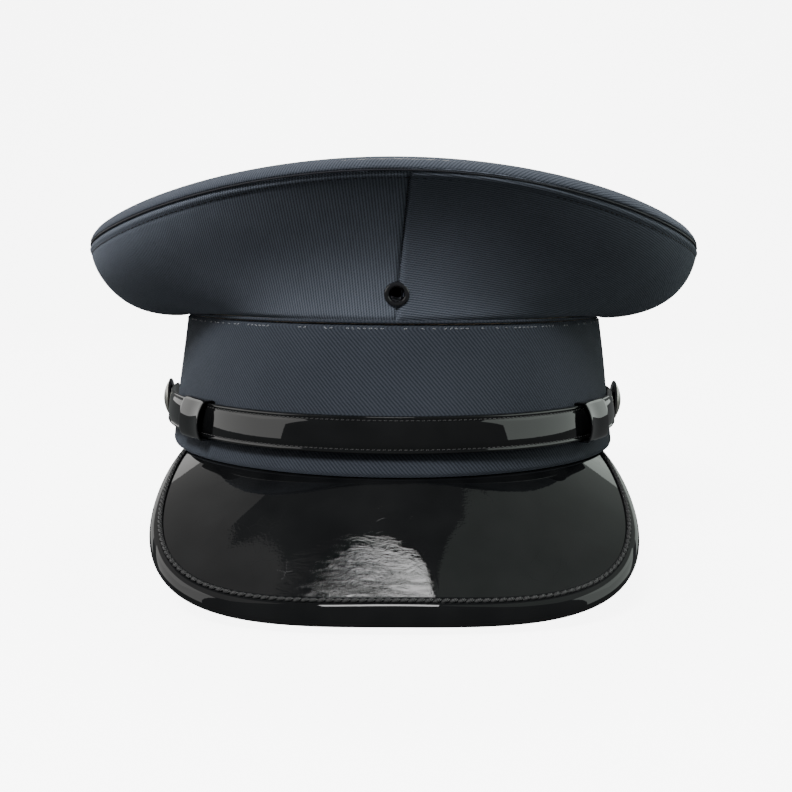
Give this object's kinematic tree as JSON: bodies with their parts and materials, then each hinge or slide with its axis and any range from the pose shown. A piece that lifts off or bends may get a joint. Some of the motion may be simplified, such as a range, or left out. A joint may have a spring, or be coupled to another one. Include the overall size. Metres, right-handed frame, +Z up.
{
  "type": "military peaked cap",
  "caption": "Peaked uniform cap with a wide oval crown, upright headband, glossy patent peak and a buttoned chin strap with sliding keepers.",
  "frame": {"origin": "centre of the head opening, on the headband's lower edge", "axes": "-Y is the front, where the peak is; +X is the wearer's left; +Z is up, out of the crown; the head goes in along +Z"},
  "size_m": [0.242, 0.289, 0.1438],
  "materials": {
    "wool_twill": "fine worsted twill, dark navy, matt with a slight sheen",
    "fibreboard": "brown vulcanised fibreboard",
    "interlining": "stiff off-white hair canvas",
    "stay_plastic": "black springy plastic",
    "hoop_plastic": "springy white plastic grommet",
    "ferrule_metal": "plated steel sleeve",
    "sweatband_leather": "smooth black leather, lightly grained",
    "reed_trim": "black corded trim",
    "lining_satin": "dark satin lining",
    "clear_shield": "clear flexible plastic",
    "label_tape": "blank woven tape",
    "patent_leather": "black patent leather with a mirror gloss",
    "peak_lining": "matt dark leathercloth",
    "black_enamel": "glossy black enamel",
    "silver_metal": "polished silver plate"
  },
  "bodies": {
    "cap": {"band_cloth": "wool_twill", "band_welt": "wool_twill", "crown_quarter_front_left": "wool_twill", "crown_quarter_front_right": "wool_twill", "crown_quarter_rear_left": "wool_twill", "crown_quarter_rear_right": "wool_twill", "crown_tip": "wool_twill", "band_stiffener": "fibreboard", "crown_interlining": "interlining", "front_stay": "stay_plastic", "crown_hoop": "hoop_plastic", "hoop_ferrule": "ferrule_metal", "sweatband": "sweatband_leather", "edge_reed": "reed_trim", "lining_side": "lining_satin", "lining_tip": "lining_satin", "sweat_shield": "clear_shield", "size_label": "label_tape", "peak_top": "patent_leather", "peak_core": "fibreboard", "peak_underside": "peak_lining", "peak_binding": "patent_leather", "badge_eyelet": "black_enamel", "eyelet_washer": "black_enamel", "band_post_eyelets": "silver_metal"},
    "chin_strap": {"chin_strap_outer": "patent_leather", "chin_strap_inner": "patent_leather"},
    "keeper_left": {"keeper_left": "patent_leather"},
    "keeper_right": {"keeper_right": "patent_leather"},
    "button_left": {"button_left_dome": "silver_metal", "button_left_shank": "black_enamel", "button_left_nut": "silver_metal"},
    "button_right": {"button_right_dome": "silver_metal", "button_right_shank": "black_enamel", "button_right_nut": "silver_metal"}
  },
  "joints": [
    {"name": "chin_strap_swing", "type": "hinge", "parent": "cap", "child": "chin_strap", "pos_m": [0, 0, 0.014], "axis": [-1, 0, 0], "range_deg": [-1, 8]},
    {"name": "keeper_left_slide", "type": "hinge", "parent": "chin_strap", "child": "keeper_left", "pos_m": [-0.03637, 0, 0.014], "axis": [0, 0, 1], "range_deg": [-2, 12]},
    {"name": "keeper_right_slide", "type": "hinge", "parent": "chin_strap", "child": "keeper_right", "pos_m": [0.03637, 0, 0.014], "axis": [0, 0, -1], "range_deg": [-2, 12]},
    {"name": "button_left_turn", "type": "hinge", "parent": "cap", "child": "button_left", "pos_m": [0.088, 0, 0.014], "axis": [1, 0, 0], "continuous": true},
    {"name": "button_right_turn", "type": "hinge", "parent": "cap", "child": "button_right", "pos_m": [-0.088, 0, 0.014], "axis": [-1, 0, 0], "continuous": true}
  ]
}
